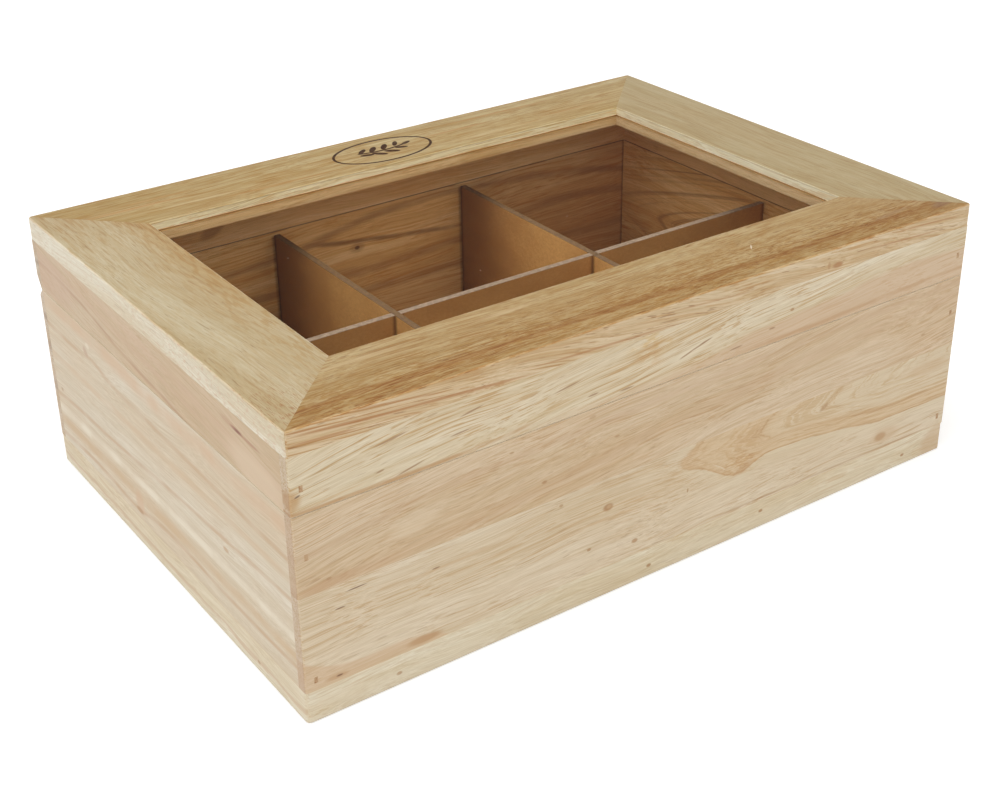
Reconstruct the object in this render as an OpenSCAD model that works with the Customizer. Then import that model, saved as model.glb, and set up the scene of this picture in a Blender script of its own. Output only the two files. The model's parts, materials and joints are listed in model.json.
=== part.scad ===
// Wooden tea bag box: six compartments under a hinged lid with a clear window.
// Millimetres, +Z up, front towards -Y, origin at the centre of the underside.

/* [Overall] */
// Width, left to right
box_w = 330; // [260:1:420]
// Depth, front to back
box_d = 230; // [180:1:300]
// Height with the lid closed
box_h = 120; // [100:1:170]

/* [Walls] */
// Thickness of the wall boards, on the box and on the lid
wall_t = 9; // [8:0.5:12]
// Part of a front or back board that laps over the end of a side board
lap_t = 5; // [4.5:0.5:6.5]
// Height of the front's lower plank, up to its glue line
lower_plank_h = 40.5; // [30:0.5:46]
// Radius of the walls' upright corners
wall_corner_r = 1; // [0.5:0.5:3]

/* [Base] */
// Thickness of the base board
base_t = 13.5; // [10:0.5:18]
// Radius of the base board's corners, seen from above
base_corner_r = 2; // [2:0.5:8]
// Radius of the base board's lower edge
base_edge_r = 0.5; // [0.25:0.25:1.5]

/* [Lid] */
// Height of the lid, from the seam to the top
lid_h = 33; // [26:0.5:44]
// Gap between the closed lid and the box
seam_gap = 0.3; // [0.2:0.1:0.6]
// Thickness of the lid's mitred top frame
frame_t = 10; // [8.5:0.5:14]
// Width of the frame's rails
rail_w = 39; // [26:1:54]
// Radius of the frame's corners, seen from above
frame_corner_r = 1.5; // [1.5:0.5:6]
// Radius of the frame's upper outer edge
frame_edge_r = 0.8; // [0.4:0.2:1]

/* [Window] */
// Thickness of the clear panel
window_t = 2; // [1.5:0.5:3]
// Depth of the panel's upper face under the top of the frame
window_recess = 3.8; // [2.5:0.1:4.5]
// Reach of the panel into the groove in each rail
window_tongue = 6; // [3:0.5:12]
// Room left past the panel's edge in the groove
window_play = 0.5; // [0.2:0.1:1]

/* [Dividers] */
// Thickness of the divider boards
divider_t = 3; // [2:0.5:5]
// Distance from the rim down to the dividers' top edges
divider_drop = 1.5; // [1:0.5:12]
// Room between a divider's end and the wall
divider_play = 0.4; // [0.2:0.1:1]
// Extra width of the slots where the dividers cross
slot_play = 0.1; // [0.1:0.1:0.4]

/* [Hinges] */
// Length of a hinge
hinge_len = 25; // [18:1:40]
// Distance from the side of the box to the nearer end of a hinge
hinge_inset = 47.5; // [20:0.5:70]
// Diameter of the hinge's barrel
barrel_d = 3.5; // [3:0.1:4]
// Diameter of the hinge pin
pin_d = 1.6; // [1.2:0.1:2]
// Radial room round the pin in the lid's knuckle
pin_play = 0.05; // [0.02:0.01:0.08]
// Thickness of a hinge leaf
leaf_t = 1; // [0.8:0.1:1.2]
// Wood left between the end of a leaf and the inside of the wall, which hides the hinge from inside
leaf_cover = 0.5; // [0.3:0.1:0.8]
// Room between neighbouring knuckles and round the barrel
knuckle_gap = 0.3; // [0.2:0.1:0.5]
// Depth of the groove along the back, from the back face in to the hinge pin
vee_depth = 4.2; // [3:0.1:4.4]
// Height of the groove on the lid, above the seam
vee_rise = 8; // [5:0.5:8.5]
// Height of the groove on the box, below the seam
vee_fall = 4; // [3:0.5:4]

/* [Fasteners] */
// Shank diameter of a brad
brad_d = 1.4; // [1:0.1:1.8]
// Length of a brad
brad_len = 22; // [18:1:30]
// Width of a brad's head
brad_head_w = 1.5; // [1.4:0.1:2]
// Height of a brad's head
brad_head_l = 2.6; // [2:0.1:3.2]
// Thickness of a brad's head
brad_head_t = 0.8; // [0.4:0.1:1.2]
// Distance from the rim of the box down to its upper corner brads
upper_brad_drop = 17; // [10:0.5:24]
// Distance from the top of the base up to the lower corner brads
lower_brad_rise = 4.5; // [3:0.5:12]
// Distance from the lid's lower edge up to its corner brads
lid_brad_rise = 10; // [7:0.5:13]
// Depth of the base brads' heads in the underside
base_brad_sink = 0.5; // [0.3:0.1:1]
// Distance from a corner of the box to the nearest base brad
base_brad_inset = 60; // [30:1:80]
// Shank diameter of a hinge nail
nail_d = 1.2; // [0.8:0.1:1.4]
// Head diameter of a hinge nail
nail_head_d = 1.8; // [1.6:0.1:2.2]
// Thickness of a hinge nail's head
nail_head_t = 0.6; // [0.4:0.1:0.8]
// Length of a hinge nail
nail_len = 7; // [5:0.5:10]

/* [Hidden] */

$fn = 48;

// Reach of a cutting shape past the face that it opens
past = 1;
left = -1;
right = 1;

// Heights of the seams
seam_z = box_h - lid_h;
rim_z = seam_z - seam_gap / 2;
lid_z = seam_z + seam_gap / 2;
frame_z = box_h - frame_t;
glue_z = base_t + lower_plank_h;

// Clear inside of the walls
inner_w = box_w - 2 * wall_t;
inner_d = box_d - 2 * wall_t;
side_board_l = box_d - 2 * lap_t;

// Middle of a wall's thickness, measured from the centre of the box
mid_wall_x = box_w / 2 - wall_t / 2;
mid_wall_y = box_d / 2 - wall_t / 2;

// Window
opening_w = box_w - 2 * rail_w;
opening_d = box_d - 2 * rail_w;
window_z = box_h - window_recess - window_t;

// Dividers: two cross dividers part the width into three equal compartments
divider_z = rim_z - divider_drop;
divider_h = divider_z - base_t;
compartment_w = (inner_w - 2 * divider_t) / 3;
cross_x = (compartment_w + divider_t) / 2;

// Hinges
pin_y = box_d / 2 - vee_depth;
hinge_x = box_w / 2 - hinge_inset - hinge_len / 2;
leaf_reach = wall_t - vee_depth - leaf_cover;
barrel_entry = sqrt(pow(barrel_d / 2, 2) - pow(leaf_t + seam_gap / 2, 2));
leaf_root = (barrel_entry + pin_d / 2 + pin_play) / 2;
knuckle_l = (hinge_len - 2 * knuckle_gap) / 3;
barrel_room_d = barrel_d + 2 * knuckle_gap;
nail_x = (hinge_len - knuckle_l) / 2;
nail_y = (leaf_reach + barrel_room_d / 2) / 2;

// Fasteners
box_brad_levels = [base_t + lower_brad_rise, rim_z - upper_brad_drop];
lid_brad_levels = [lid_z + lid_brad_rise];
base_brad_x = box_w / 2 - base_brad_inset;
base_brad_y = box_d / 2 - base_brad_inset;

// ---- Shared shapes ----

// Upright block with rounded corners, standing on z = 0
module round_cornered_block(w, d, h, r) {
    translate([-w / 2 + r, -d / 2, 0]) cube([w - 2 * r, d, h]);
    translate([-w / 2, -d / 2 + r, 0]) cube([w, d - 2 * r, h]);
    for (x = [-1, 1], y = [-1, 1])
        translate([x * (w / 2 - r), y * (d / 2 - r), 0]) cylinder(r = r, h = h);
}

// Profile of a rounded upper edge, from the middle of a corner outwards
module edge_profile(w, h, edge_r) {
    square([w, h - edge_r]);
    square([w - edge_r, h]);
    translate([w - edge_r, h - edge_r]) intersection() {
        circle(r = edge_r);
        square(edge_r);
    }
}

// One side of an eased block, facing +X, without its corners
module edge_bar(from_x, l, h, corner_r, edge_r) {
    translate([from_x, l / 2, 0]) rotate([90, 0, 0])
        linear_extrude(height = l) edge_profile(corner_r, h, edge_r);
}

// Upright block with rounded corners and a rounded upper edge, on z = 0
module eased_block(w, d, h, corner_r, edge_r) {
    core_w = w - 2 * corner_r;
    core_d = d - 2 * corner_r;
    translate([-core_w / 2, -core_d / 2, 0]) cube([core_w, core_d, h]);
    for (turn = [0, 180]) {
        rotate([0, 0, turn]) edge_bar(core_w / 2, core_d, h, corner_r, edge_r);
        rotate([0, 0, turn + 90]) edge_bar(core_d / 2, core_w, h, corner_r, edge_r);
        for (y = [-1, 1])
            rotate([0, 0, turn]) translate([core_w / 2, y * core_d / 2, 0])
                rotate([0, 0, y * 45 - 45]) rotate_extrude(angle = 90)
                    edge_profile(corner_r, h, edge_r);
    }
}

// Front board from one height to another, lapping over the side boards' ends
module lapped_board(from_z, to_z) {
    intersection() {
        translate([0, 0, from_z])
            round_cornered_block(box_w, box_d, to_z - from_z, wall_corner_r);
        union() {
            translate([-box_w / 2, -box_d / 2, from_z])
                cube([box_w, lap_t, to_z - from_z]);
            translate([-inner_w / 2, -box_d / 2, from_z])
                cube([inner_w, wall_t, to_z - from_z]);
        }
    }
}

// Side board from one height to another, between the laps
module side_board(side, from_z, to_z) {
    translate([side * mid_wall_x, 0, (from_z + to_z) / 2])
        cube([wall_t, side_board_l, to_z - from_z], center = true);
}

// Brad pointing up from its head, which lies at z = 0
module brad() {
    cylinder(d = brad_d, h = brad_len);
    translate([0, 0, brad_head_t / 2])
        cube([brad_head_w, brad_head_l, brad_head_t], center = true);
}

// Brads through the laps into the side boards' ends, front and back
module corner_brads(levels) {
    for (x = [-1, 1], y = [-1, 1], z = levels)
        translate([x * mid_wall_x, y * box_d / 2, z]) rotate([y * 90, 0, 0]) brad();
}

// Groove along the back that lets the lid swing open and then stops it
module back_vee() {
    translate([-box_w / 2 - past, 0, 0]) rotate([90, 0, 90])
        linear_extrude(height = box_w + 2 * past)
            polygon([
                [pin_y, seam_z],
                [box_d / 2, seam_z + vee_rise],
                [box_d / 2 + past, seam_z + vee_rise],
                [box_d / 2 + past, seam_z - vee_fall],
                [box_d / 2, seam_z - vee_fall]
            ]);
}

// Moves a hinge part from the hinge's own centre to its place on the pin axis
module on_pin(side) {
    translate([side * hinge_x, pin_y, seam_z]) children();
}

module along_pin(d, l) {
    rotate([0, 90, 0]) cylinder(d = d, h = l, center = true);
}

// Flat of a leaf under the pin axis, ending inside the barrel's wall
module leaf_plate(extra = 0) {
    translate([-hinge_len / 2, -leaf_reach, -seam_gap / 2 - leaf_t])
        cube([hinge_len, leaf_reach - leaf_root, leaf_t + extra]);
}

// Cut through a leaf that clears a neighbouring knuckle centred at x
module knuckle_room(x) {
    room_l = knuckle_l + 2 * knuckle_gap;
    translate([x - room_l / 2, -barrel_room_d / 2, -barrel_room_d])
        cube([room_l, barrel_room_d, 2 * barrel_room_d]);
}

// Nail pointing down from its head, with its face at z = 0
module hinge_nail() {
    translate([0, 0, -nail_len]) cylinder(d = nail_d, h = nail_len);
    translate([0, 0, -nail_head_t])
        cylinder(d1 = nail_d, d2 = nail_head_d, h = nail_head_t);
}

// The two nails of a leaf, under the pin axis
module leaf_nails() {
    for (x = [-1, 1])
        translate([x * nail_x, -nail_y, -seam_gap / 2]) hinge_nail();
}

// Pocket for a leaf and room for the barrel, under the pin axis
module hinge_pocket() {
    leaf_plate(past);
    along_pin(barrel_room_d, hinge_len + 2 * knuckle_gap);
}

module lower_leaf(side) {
    on_pin(side) difference() {
        union() {
            leaf_plate();
            for (x = [-1, 1]) translate([x * nail_x, 0, 0]) along_pin(barrel_d, knuckle_l);
        }
        knuckle_room(0);
        along_pin(pin_d, hinge_len + 2 * past);
        leaf_nails();
    }
}

module upper_leaf(side) {
    on_pin(side) mirror([0, 0, 1]) difference() {
        union() {
            difference() {
                leaf_plate();
                for (x = [-1, 1]) knuckle_room(x * nail_x);
            }
            along_pin(barrel_d, knuckle_l);
        }
        along_pin(pin_d + 2 * pin_play, hinge_len + 2 * past);
        leaf_nails();
    }
}

module all_leaf_nails() {
    for (side = [left, right]) on_pin(side) leaf_nails();
}

// Turns parts that lie under the seam over to the lid
module over_seam() {
    translate([0, 0, 2 * seam_z]) mirror([0, 0, 1]) children();
}

module all_hinge_pockets() {
    for (side = [left, right]) on_pin(side) hinge_pocket();
}

// ---- Box ----

module base_board() {
    color([0.87, 0.75, 0.56]) difference() {
        translate([0, 0, base_t]) mirror([0, 0, 1])
            eased_block(box_w, box_d, base_t, base_corner_r, base_edge_r);
        base_brads();
        at_base_brads()
            translate([0, 0, -base_brad_sink])
                cube([brad_head_w, brad_head_l, 2 * base_brad_sink], center = true);
    }
}

module front_lower_plank() {
    color([0.86, 0.72, 0.53]) difference() {
        lapped_board(base_t, glue_z);
        box_corner_brads();
        base_brads();
    }
}

module front_upper_plank() {
    color([0.83, 0.66, 0.48]) difference() {
        lapped_board(glue_z, rim_z);
        box_corner_brads();
        base_brads();
    }
}

module back_board() {
    color([0.78, 0.6, 0.41]) difference() {
        mirror([0, 1, 0]) lapped_board(base_t, rim_z);
        back_vee();
        all_hinge_pockets();
        all_leaf_nails();
        box_corner_brads();
        base_brads();
    }
}

module box_side(side) {
    difference() {
        side_board(side, base_t, rim_z);
        box_corner_brads();
        base_brads();
    }
}

module left_board() {
    color([0.88, 0.75, 0.57]) box_side(left);
}

module right_board() {
    color([0.8, 0.62, 0.42]) box_side(right);
}

// Slot as wide as a divider, centred at x = 0, from one height to another
module divider_slot(from_z, to_z) {
    translate([-(divider_t + slot_play) / 2, -divider_t, from_z])
        cube([divider_t + slot_play, 2 * divider_t, to_z - from_z]);
}

module long_divider() {
    length = inner_w - 2 * divider_play;
    color([0.72, 0.58, 0.42]) difference() {
        translate([0, 0, base_t + divider_h / 2])
            cube([length, divider_t, divider_h], center = true);
        for (side = [left, right])
            translate([side * cross_x, 0, 0])
                divider_slot(base_t + divider_h / 2, divider_z + past);
    }
}

module cross_divider(side) {
    length = inner_d - 2 * divider_play;
    translate([side * cross_x, 0, 0]) rotate([0, 0, 90]) difference() {
        translate([0, 0, base_t + divider_h / 2])
            cube([length, divider_t, divider_h], center = true);
        divider_slot(base_t - past, base_t + divider_h / 2);
    }
}

module left_divider() {
    color([0.74, 0.58, 0.4]) cross_divider(left);
}

module right_divider() {
    color([0.76, 0.6, 0.41]) cross_divider(right);
}

module box_corner_brads() {
    color([0.52, 0.36, 0.22]) corner_brads(box_brad_levels);
}

// Places along the walls where brads come up through the base
module at_base_brads() {
    for (x = [-base_brad_x, 0, base_brad_x], y = [-mid_wall_y, mid_wall_y])
        translate([x, y, base_brad_sink]) children();
    for (x = [-mid_wall_x, mid_wall_x], y = [-base_brad_y, base_brad_y])
        translate([x, y, base_brad_sink]) children();
}

module base_brads() {
    color([0.55, 0.54, 0.52]) at_base_brads() brad();
}

module left_hinge_lower_leaf() {
    color([0.79, 0.64, 0.32]) lower_leaf(left);
}

module right_hinge_lower_leaf() {
    color([0.79, 0.64, 0.32]) lower_leaf(right);
}

module hinge_pin(side) {
    on_pin(side) along_pin(pin_d, hinge_len);
}

module left_hinge_pin() {
    color([0.74, 0.6, 0.3]) hinge_pin(left);
}

module right_hinge_pin() {
    color([0.74, 0.6, 0.3]) hinge_pin(right);
}

module lower_hinge_nails() {
    color([0.72, 0.58, 0.28]) all_leaf_nails();
}

// ---- Lid ----

module lid_front_apron() {
    color([0.87, 0.75, 0.54]) difference() {
        lapped_board(lid_z, frame_z);
        lid_corner_brads();
    }
}

module lid_back_apron() {
    color([0.76, 0.58, 0.38]) difference() {
        mirror([0, 1, 0]) lapped_board(lid_z, frame_z);
        back_vee();
        over_seam() {
            all_hinge_pockets();
            all_leaf_nails();
        }
        lid_corner_brads();
    }
}

module lid_side(side) {
    difference() {
        side_board(side, lid_z, frame_z);
        lid_corner_brads();
    }
}

module lid_left_apron() {
    color([0.84, 0.68, 0.52]) lid_side(left);
}

module lid_right_apron() {
    color([0.72, 0.58, 0.42]) lid_side(right);
}

// Whole top frame before it is parted at its mitres
module top_frame() {
    groove_w = opening_w + 2 * (window_tongue + window_play);
    groove_d = opening_d + 2 * (window_tongue + window_play);
    difference() {
        translate([0, 0, frame_z])
            eased_block(box_w, box_d, frame_t, frame_corner_r, frame_edge_r);
        translate([-opening_w / 2, -opening_d / 2, frame_z - past])
            cube([opening_w, opening_d, frame_t + 2 * past]);
        translate([-groove_w / 2, -groove_d / 2, window_z])
            cube([groove_w, groove_d, window_t]);
    }
}

// Length of the frame that lies between two outer and two inner corners
module mitred_rail(outer_a, outer_b, inner_b, inner_a) {
    intersection() {
        top_frame();
        translate([0, 0, frame_z - past])
            linear_extrude(height = frame_t + 2 * past)
                polygon([outer_a, outer_b, inner_b, inner_a]);
    }
}

// Corner of the frame in plan; x and y are -1 or 1
function outer_corner(x, y) = [x * (box_w / 2 + past), y * (box_d / 2 + past)];
function inner_corner(x, y) = [x * opening_w / 2, y * opening_d / 2];

module cross_rail(y) {
    mitred_rail(outer_corner(-1, y), outer_corner(1, y), inner_corner(1, y), inner_corner(-1, y));
}

module end_rail(x) {
    mitred_rail(outer_corner(x, -1), outer_corner(x, 1), inner_corner(x, 1), inner_corner(x, -1));
}

module frame_front_rail() {
    color([0.78, 0.6, 0.36]) cross_rail(-1);
}

module frame_back_rail() {
    color([0.8, 0.66, 0.42]) cross_rail(1);
}

module frame_left_rail() {
    color([0.8, 0.68, 0.44]) end_rail(-1);
}

module frame_right_rail() {
    color([0.78, 0.66, 0.46]) end_rail(1);
}

module window_panel() {
    color([0.85, 0.92, 0.95, 0.3])
        translate([0, 0, window_z + window_t / 2])
            cube([opening_w + 2 * window_tongue, opening_d + 2 * window_tongue, window_t], center = true);
}

module lid_corner_brads() {
    color([0.52, 0.36, 0.22]) corner_brads(lid_brad_levels);
}

module left_hinge_upper_leaf() {
    color([0.79, 0.64, 0.32]) upper_leaf(left);
}

module right_hinge_upper_leaf() {
    color([0.79, 0.64, 0.32]) upper_leaf(right);
}

module upper_hinge_nails() {
    color([0.72, 0.58, 0.28]) over_seam() all_leaf_nails();
}

base_board();
front_lower_plank();
front_upper_plank();
back_board();
left_board();
right_board();
long_divider();
left_divider();
right_divider();
box_corner_brads();
base_brads();
left_hinge_lower_leaf();
right_hinge_lower_leaf();
left_hinge_pin();
right_hinge_pin();
lower_hinge_nails();
lid_front_apron();
lid_back_apron();
lid_left_apron();
lid_right_apron();
frame_front_rail();
frame_back_rail();
frame_left_rail();
frame_right_rail();
window_panel();
lid_corner_brads();
left_hinge_upper_leaf();
right_hinge_upper_leaf();
upper_hinge_nails();
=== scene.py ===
import json
import math

import bmesh
import bpy
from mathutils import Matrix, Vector


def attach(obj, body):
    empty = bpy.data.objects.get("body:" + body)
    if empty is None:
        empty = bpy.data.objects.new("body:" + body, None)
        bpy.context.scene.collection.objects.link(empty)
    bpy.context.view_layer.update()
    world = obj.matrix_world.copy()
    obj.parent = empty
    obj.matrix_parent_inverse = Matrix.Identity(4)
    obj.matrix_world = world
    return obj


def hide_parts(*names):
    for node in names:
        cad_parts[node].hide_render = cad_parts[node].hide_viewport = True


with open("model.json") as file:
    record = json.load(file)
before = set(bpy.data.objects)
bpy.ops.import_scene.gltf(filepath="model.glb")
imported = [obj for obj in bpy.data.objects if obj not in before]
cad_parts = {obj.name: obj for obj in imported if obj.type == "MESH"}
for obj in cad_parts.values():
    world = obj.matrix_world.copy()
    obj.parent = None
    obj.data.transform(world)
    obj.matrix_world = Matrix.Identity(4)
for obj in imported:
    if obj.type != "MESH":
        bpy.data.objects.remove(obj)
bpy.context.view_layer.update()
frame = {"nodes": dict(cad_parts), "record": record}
nodes = frame["nodes"]
scene = bpy.context.scene
MM = 0.001
# shorter edges aren't sanded
SHORTEST_EDGE = 5 * MM


# ---- Places that the looks are measured from, in millimetres ----

def end_of(node, axis, pick):
    """Where a CAD node ends along an axis. pick is min or max."""
    return round(pick(v.co[axis] for v in nodes[node].data.vertices) / MM, 3)


HALF_WIDTH = end_of("base_board", 0, max)
LEFT = -HALF_WIDTH
FRONT = end_of("base_board", 1, min)
BASE_TOP = end_of("base_board", 2, max)
TOP = end_of("frame_front_rail", 2, max)
# from the middle of the box to the inner faces of its walls and to the rails' inner edges, along x and y
INNER = (-end_of("left_board", 0, max), -end_of("front_upper_plank", 1, max))
OPENING = (-end_of("frame_left_rail", 0, max), -end_of("frame_front_rail", 1, max))
RIM = end_of("left_board", 2, max)
LID_RIM = end_of("lid_left_apron", 2, min)
WINDOW_LOW = end_of("window_panel", 2, min)
WINDOW_TOP = end_of("window_panel", 2, max)
DIVIDER_TOP = end_of("long_divider", 2, max)
CROSSING = (end_of("right_divider", 0, min) + end_of("right_divider", 0, max)) / 2
# the height that stands for 1 in a growth line's curve
COURSE_TOP = 130.0


# ---- Node recipes ----

class Recipe:
    """A material's nodes, written as short formulas."""

    def __init__(self, tree):
        self.tree = tree
        self.links = tree.links

    def node(self, kind, inputs=None, **settings):
        n = self.tree.nodes.new(kind)
        for key, value in settings.items():
            setattr(n, key, value)
        for key, value in (inputs or {}).items():
            self.feed(n.inputs[key], value)
        return n

    def feed(self, socket, value):
        if isinstance(value, bpy.types.NodeSocket):
            self.links.new(value, socket)
        elif socket.type == "RGBA" and len(value) == 3:
            socket.default_value = (*value, 1)
        else:
            socket.default_value = value

    def maths(self, operation, *values, clamp=False):
        n = self.node("ShaderNodeMath", operation=operation, use_clamp=clamp)
        for socket, value in zip(n.inputs, values):
            self.feed(socket, value)
        return n.outputs[0]

    def product(self, first, *others, clamp=False):
        for value in others:
            first = self.maths("MULTIPLY", first, value, clamp=clamp)
        return first

    def total(self, first, *others, clamp=False):
        for value in others:
            first = self.maths("ADD", first, value, clamp=clamp)
        return first

    def most(self, first, *others):
        for value in others:
            first = self.maths("MAXIMUM", first, value)
        return first

    def less(self, value, taken):
        return self.maths("SUBTRACT", value, taken)

    def ratio(self, value, divisor):
        return self.maths("DIVIDE", value, divisor)

    def absolute(self, value):
        return self.maths("ABSOLUTE", value)

    def arrow(self, operation, *values, scale=None):
        n = self.node("ShaderNodeVectorMath", operation=operation)
        for socket, value in zip(n.inputs, values):
            self.feed(socket, value)
        if scale is not None:
            self.feed(n.inputs["Scale"], scale)
        return n.outputs["Value" if operation == "LENGTH" else 0]

    def place(self, vector, at=(0, 0, 0), turn=(0, 0, 0), size=(1, 1, 1)):
        """The vector as seen from a place that is moved, turned in degrees and sized."""
        n = self.node("ShaderNodeMapping", {"Vector": vector}, vector_type="TEXTURE")
        n.inputs["Location"].default_value = at
        n.inputs["Rotation"].default_value = [math.radians(a) for a in turn]
        n.inputs["Scale"].default_value = size
        return n.outputs[0]

    def stretch(self, vector, scale, shift=(0, 0, 0)):
        n = self.node("ShaderNodeMapping", {"Vector": vector}, vector_type="POINT")
        n.inputs["Scale"].default_value = scale
        n.inputs["Location"].default_value = shift
        return n.outputs[0]

    def noise(self, vector, detail=2.0, rough=0.5, colour=False):
        inputs = {"Vector": vector, "Scale": 1.0, "Detail": detail, "Roughness": rough}
        n = self.node("ShaderNodeTexNoise", inputs)
        return n.outputs["Color" if colour else "Fac"]

    def ease(self, value, low, high, to_low=0.0, to_high=1.0):
        """A soft step from one value to another while the input goes from low to high."""
        inputs = {"Value": value, "From Min": low, "From Max": high, "To Min": to_low, "To Max": to_high}
        return self.node("ShaderNodeMapRange", inputs, interpolation_type="SMOOTHSTEP").outputs[0]

    def blend(self, share, under, over, mode="MIX"):
        n = self.node("ShaderNodeMix", data_type="RGBA", blend_type=mode)
        self.feed(n.inputs[0], share)
        self.feed(n.inputs[6], under)
        self.feed(n.inputs[7], over)
        return n.outputs[2]

    def tint(self, colour, share, factors):
        """The colour multiplied by factors, as far as the share says."""
        return self.blend(share, colour, self.blend(1.0, colour, factors, "MULTIPLY"))

    def parts(self, vector):
        return self.node("ShaderNodeSeparateXYZ", {0: vector}).outputs

    def join(self, x, y, z):
        return self.node("ShaderNodeCombineXYZ", {0: x, 1: y, 2: z}).outputs[0]


def tone(r, g, b):
    """A tone given as 0 to 255 on screen, as the linear colour that nodes hold."""
    shares = [value / 255 for value in (r, g, b)]
    return tuple(c / 12.92 if c <= 0.04045 else ((c + 0.055) / 1.055) ** 2.4 for c in shares)


def new_material(name):
    material = bpy.data.materials.new(name)
    material.use_nodes = True
    recipe = Recipe(material.node_tree)
    surface = material.node_tree.nodes["Principled BSDF"]
    return material, recipe, surface


def show(material, r, shader):
    """Sends a mixed shader to the material's output."""
    out = next(n for n in material.node_tree.nodes if n.type == "OUTPUT_MATERIAL")
    r.feed(out.inputs["Surface"], shader.outputs[0])


def millimetres(recipe):
    coordinates = recipe.node("ShaderNodeTexCoord").outputs["Object"]
    return recipe.arrow("SCALE", coordinates, scale=1 / MM)


# ---- What is drawn on a board ----

class Figure(Recipe):
    """Knots, patches and lines placed on one board, in millimetres. It holds the board's colour."""

    def __init__(self, tree, point, axis, colour, height):
        super().__init__(tree)
        self.point = point
        self.axis = axis
        self.spots = self.parts(point)
        self.along = self.spots[axis]
        self.up = self.spots[2]
        self.colour = colour
        self.height = height

    def cover(self, share, over):
        """Lay a tone over the wood, as far as the share says."""
        self.colour = self.blend(share, self.colour, over)

    def times(self, share, factors):
        """Multiply the wood's colour by factors, as far as the share says."""
        self.colour = self.tint(self.colour, share, factors)

    def on_top(self):
        """1 on the flat top of the lid's frame."""
        return self.ease(self.up, TOP - 0.8, TOP - 0.3)

    def inner_face(self, axis):
        """1 on the face towards the compartments."""
        return self.ease(self.reach(axis), INNER[axis] + 0.1, INNER[axis] + 0.3, 1.0, 0.0)

    def only(self, axis, low, high, soft=0.4):
        """1 where a coordinate lies between two values."""
        return self.product(self.ease(self.spots[axis], low - soft, low + soft),
                            self.ease(self.spots[axis], high - soft, high + soft, 1.0, 0.0))

    def course(self, points, straight=False):
        """A height that follows a few points along the board."""
        along = self.ratio(self.total(self.along, HALF_WIDTH), 2 * HALF_WIDTH)
        n = self.node("ShaderNodeFloatCurve", {"Value": along})
        curve = n.mapping.curves[0]
        for i, (x, z) in enumerate(points):
            spot = ((x + HALF_WIDTH) / (2 * HALF_WIDTH), z / COURSE_TOP)
            if i < 2:
                curve.points[i].location = spot
            else:
                curve.points.new(*spot)
        if straight:
            for point in curve.points:
                point.handle_type = "VECTOR"
        n.mapping.update()
        return self.product(n.outputs[0], COURSE_TOP)

    def ragged(self, seed, depth):
        """A small wander for the edge of a patch or line."""
        wave = self.arrow("ADD", self.stretch(self.point, (0.05, 0.05, 0.3)), (seed, seed, 0))
        return self.product(self.less(self.noise(wave, 3.0, 0.6), 0.5), depth)

    def line(self, points, half, over, strength=0.6, seed=1.0, rag=1.5, where=None):
        """A soft growth line of another tone along a course."""
        off = self.absolute(self.total(self.less(self.up, self.course(points)), self.ragged(seed, rag)))
        patches = self.arrow("ADD", self.stretch(self.point, (0.05, 0.05, 0.05)), (seed, 3, seed))
        patches = self.noise(patches, 2.0)
        fade = self.ease(patches, 0.3, 0.6, 0.45, 1.0)
        share = self.product(self.ease(off, 0.2 * half, 1.6 * half, strength, 0.0), fade)
        if where is not None:
            share = self.product(share, where)
        self.cover(share, over)

    def near(self, at, size, turn=(0, 0, 0), core=0.3):
        """1 round a place, fading out at the half-widths given."""
        return self.ease(self.arrow("LENGTH", self.place(self.point, at, turn, size)), core, 1.1, 1.0, 0.0)

    def spot(self, at, size, over, strength=0.8, turn=(0, 0, 0), core=0.5):
        """A knot or patch: size is its half-widths."""
        self.cover(self.product(self.near(at, size, turn, core), strength), over)

    def dashes(self, share, factors, seed=0.0, length=7.0, width=1.0, low=0.5, high=0.6):
        """Short ragged marks that follow the grain."""
        size = [0.8 / width] * 3
        size[self.axis] = 0.8 / length
        field = self.noise(self.stretch(self.point, size, (seed, seed, seed)), 2.5, 0.62)
        self.times(self.product(self.ease(field, low, high), share), factors)

    def reach(self, axis):
        """Distance from the middle of the box along an axis."""
        return self.absolute(self.spots[axis])


# ---- Rubberwood ----

# the tones of the grain, as factors of a board's middle tone
GRAIN_TONES = {
    "Pale": (1.10, 1.15, 1.27),
    "Tan": (0.88, 0.80, 0.67),
    "Rose": (1.0, 0.9, 0.82),
    "Line": (0.77, 0.56, 0.33),
    "Pore": (0.45, 0.27, 0.14),
}
GRAIN_AMOUNTS = ("Wide", "Bands", "Streaks", "Lines", "Pores", "Blush", "Seed")


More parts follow.
